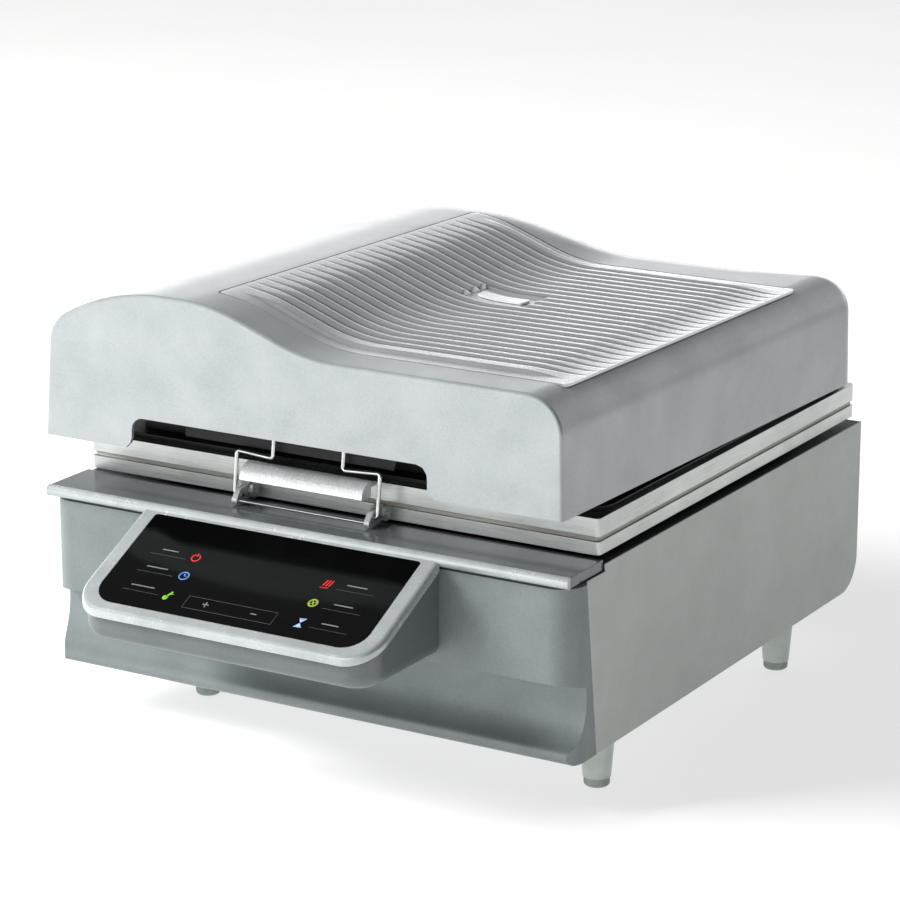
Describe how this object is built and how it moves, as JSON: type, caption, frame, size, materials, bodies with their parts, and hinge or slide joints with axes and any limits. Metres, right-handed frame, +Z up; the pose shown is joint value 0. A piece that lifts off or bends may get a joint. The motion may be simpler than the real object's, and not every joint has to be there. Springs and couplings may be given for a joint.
{
  "type": "3d vacuum sublimation machine",
  "caption": "Benchtop vacuum heat press: a feet-borne base with a vacuum tray and sloping control console, a hinged membrane frame with a loop latch and a ribbed heating lid.",
  "frame": {"origin": "on the floor, in the middle of the machine's width and, within 3 mm, of its length", "axes": "+X to the right as seen from the front, +Y from the console towards the hinges, +Z up"},
  "size_m": [0.49, 0.655, 0.3692],
  "materials": {
    "silver_casing": "metallic silver paint on a plastic moulding",
    "silver_panel": "metallic silver paint, bright on the ribs",
    "grey_panel": "grey metallic paint on steel sheet",
    "console_silver": "bright silver paint",
    "shelf_silver": "glossy silver paint",
    "gloss_black": "glossy black touch panel",
    "brushed_aluminium": "brushed strip",
    "clear_silicone": "dark translucent silicone sheet",
    "seal_silicone": "heat resistant seal",
    "tray_steel": "plain sheet steel",
    "bright_steel": "bright plated steel",
    "zinc_steel": "zinc plated steel",
    "grip_plastic": "dark silver plastic",
    "oven_steel": "aluminised steel sheet",
    "foot_plastic": "grey plastic",
    "foot_rubber": "black rubber",
    "black_plastic": "moulded black plastic",
    "rocker_red": "red translucent plastic",
    "heater_metal": "heat stained steel tube",
    "ceramic": "off-white ceramic",
    "insulation_wool": "mineral wool blanket",
    "fan_aluminium": "cast and pressed aluminium",
    "board_green": "printed circuit board",
    "pump_metal": "die cast metal",
    "hose_rubber": "black rubber hose"
  },
  "bodies": {
    "base": {"bottom_pan": "grey_panel", "left_side_panel": "grey_panel", "right_side_panel": "grey_panel", "rear_panel": "grey_panel", "front_moulding": "silver_casing", "shelf_top": "shelf_silver", "top_deck": "tray_steel", "foot_posts": "foot_plastic", "foot_pads": "foot_rubber", "console_tub": "console_silver", "console_bezel": "console_silver", "control_panel": "gloss_black", "control_board": "board_green", "vacuum_tray": "tray_steel", "perforated_plate": "tray_steel", "tray_gasket": "seal_silicone", "vacuum_fitting": "pump_metal", "pump_hose": "hose_rubber", "vacuum_pump": "pump_metal", "power_board": "board_green", "cooling_fan_housing": "black_plastic", "power_inlet": "black_plastic", "switch_frame": "black_plastic", "base_hinge_leaves": "zinc_steel", "hinge_pins": "bright_steel", "base_hinge_screws": "bright_steel"},
    "membrane_frame": {"lower_frame": "brushed_aluminium", "silicone_membrane": "clear_silicone", "upper_frame": "brushed_aluminium", "frame_grip": "grip_plastic", "latch_brackets": "zinc_steel", "lever_pins": "bright_steel", "frame_hinge_leaves": "zinc_steel"},
    "latch_lever": {"lever_arms": "zinc_steel", "lever_rod": "bright_steel"},
    "latch_loop": {"latch_bail": "bright_steel"},
    "lid": {"lid_shell": "silver_casing", "top_panel": "silver_panel", "badge_plaque": "black_plastic", "heater_box": "oven_steel", "heater_insulation": "insulation_wool", "heater_elements": "heater_metal", "heater_holders": "ceramic", "heater_gasket": "seal_silicone", "fan_motor": "fan_aluminium", "temperature_sensor": "heater_metal", "keeper_bar": "zinc_steel", "box_brackets": "zinc_steel", "lid_hinge_leaves": "zinc_steel", "lid_hinge_screws": "bright_steel"},
    "circulation_fan": {"fan_wheel": "fan_aluminium"},
    "cooling_fan": {"cooling_fan_rotor": "black_plastic"},
    "rocker": {"power_switch": "rocker_red"}
  },
  "joints": [
    {"name": "frame_hinge", "type": "hinge", "parent": "base", "child": "membrane_frame", "pos_m": [0, 0.318, 0.228], "axis": [-1, 0, 0], "range_deg": [0, 55]},
    {"name": "lid_hinge", "type": "hinge", "parent": "membrane_frame", "child": "lid", "pos_m": [0, 0.318, 0.228], "axis": [-1, 0, 0], "range_deg": [0, 70]},
    {"name": "lever_pivot", "type": "hinge", "parent": "membrane_frame", "child": "latch_lever", "pos_m": [-0.0155, -0.176, 0.2055], "axis": [-1, 0, 0], "range_deg": [0, 50]},
    {"name": "loop_pivot", "type": "hinge", "parent": "latch_lever", "child": "latch_loop", "pos_m": [-0.0155, -0.1885, 0.2045], "axis": [-1, 0, 0], "range_deg": [-58, 0]},
    {"name": "rocker_pivot", "type": "hinge", "parent": "base", "child": "rocker", "pos_m": [-0.14, 0.303, 0.112], "axis": [-1, 0, 0], "range_deg": [0, 18]},
    {"name": "circulation_fan_spin", "type": "hinge", "parent": "lid", "child": "circulation_fan", "pos_m": [-0.138, 0.066, 0.28], "axis": [0, 0, 1], "continuous": true},
    {"name": "cooling_fan_spin", "type": "hinge", "parent": "base", "child": "cooling_fan", "pos_m": [0.13, 0.295, 0.112], "axis": [0, 1, 0], "continuous": true}
  ],
  "couplings": [
    {"joint": "loop_pivot", "follows": "lever_pivot", "ratio": -1.15}
  ]
}
